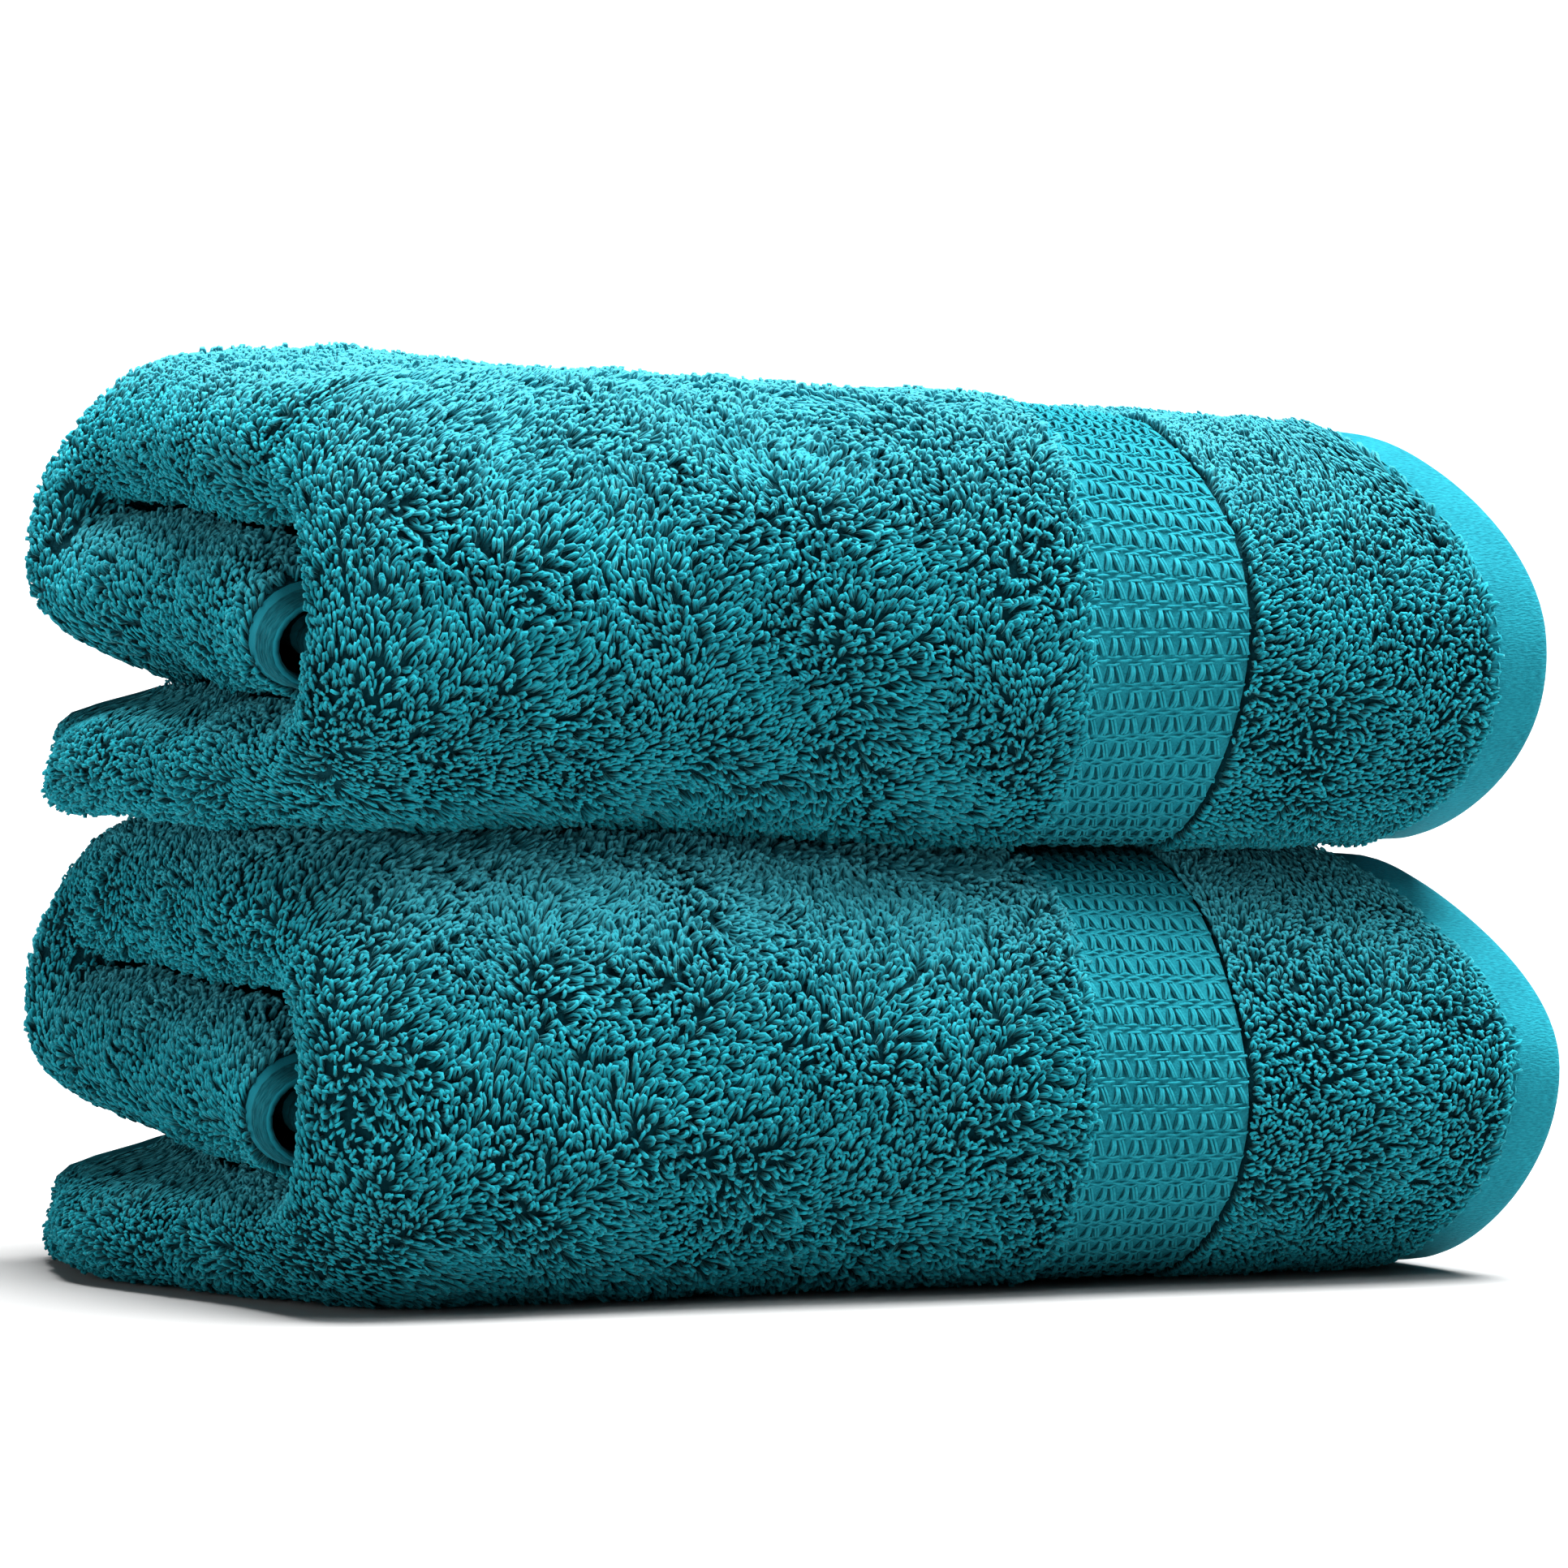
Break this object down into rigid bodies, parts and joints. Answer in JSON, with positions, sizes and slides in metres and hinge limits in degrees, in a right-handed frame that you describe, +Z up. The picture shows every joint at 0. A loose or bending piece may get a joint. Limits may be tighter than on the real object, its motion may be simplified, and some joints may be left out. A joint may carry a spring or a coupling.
{
  "type": "bath towel set",
  "caption": "Stack of thick terry bath towels, each folded into a neat block with its woven border and end hem across the front.",
  "frame": {"origin": "on the surface the set lies on, under the middle of the folded towels", "axes": "+X along the folded towel's length, from the folded end to the hem end; the smooth folded front faces -Y; +Z up"},
  "size_m": [0.3562, 0.2556, 0.2497],
  "materials": {
    "terry_pile": "looped terry pile, matt, deep teal",
    "border_weave": "flat honeycomb border weave, slight sheen",
    "hem_weave": "flat woven hem, turned and sewn",
    "sewing_thread": "matching cotton sewing thread"
  },
  "bodies": {
    "lower_towel": {"lower_pile_field": "terry_pile", "lower_border": "border_weave", "lower_end_strip": "terry_pile", "lower_end_hem": "hem_weave", "lower_second_pile_field": "terry_pile", "lower_second_border": "border_weave", "lower_second_end_strip": "terry_pile", "lower_second_end_hem": "hem_weave", "lower_third_layer": "terry_pile", "lower_fourth_layer": "terry_pile", "lower_outer_left_fold": "terry_pile", "lower_inner_left_fold": "terry_pile", "lower_right_fold": "terry_pile", "lower_inner_side_hem": "hem_weave", "lower_outer_side_hem": "hem_weave", "lower_hem_stitching": "sewing_thread"},
    "upper_towel": {"upper_pile_field": "terry_pile", "upper_border": "border_weave", "upper_end_strip": "terry_pile", "upper_end_hem": "hem_weave", "upper_second_pile_field": "terry_pile", "upper_second_border": "border_weave", "upper_second_end_strip": "terry_pile", "upper_second_end_hem": "hem_weave", "upper_third_layer": "terry_pile", "upper_fourth_layer": "terry_pile", "upper_outer_left_fold": "terry_pile", "upper_inner_left_fold": "terry_pile", "upper_right_fold": "terry_pile", "upper_inner_side_hem": "hem_weave", "upper_outer_side_hem": "hem_weave", "upper_hem_stitching": "sewing_thread"}
  },
  "joints": [
    {"name": "upper_towel_lift", "type": "slide", "parent": "lower_towel", "child": "upper_towel", "axis": [0, 0, 1], "range_m": [0, 0.15]}
  ]
}
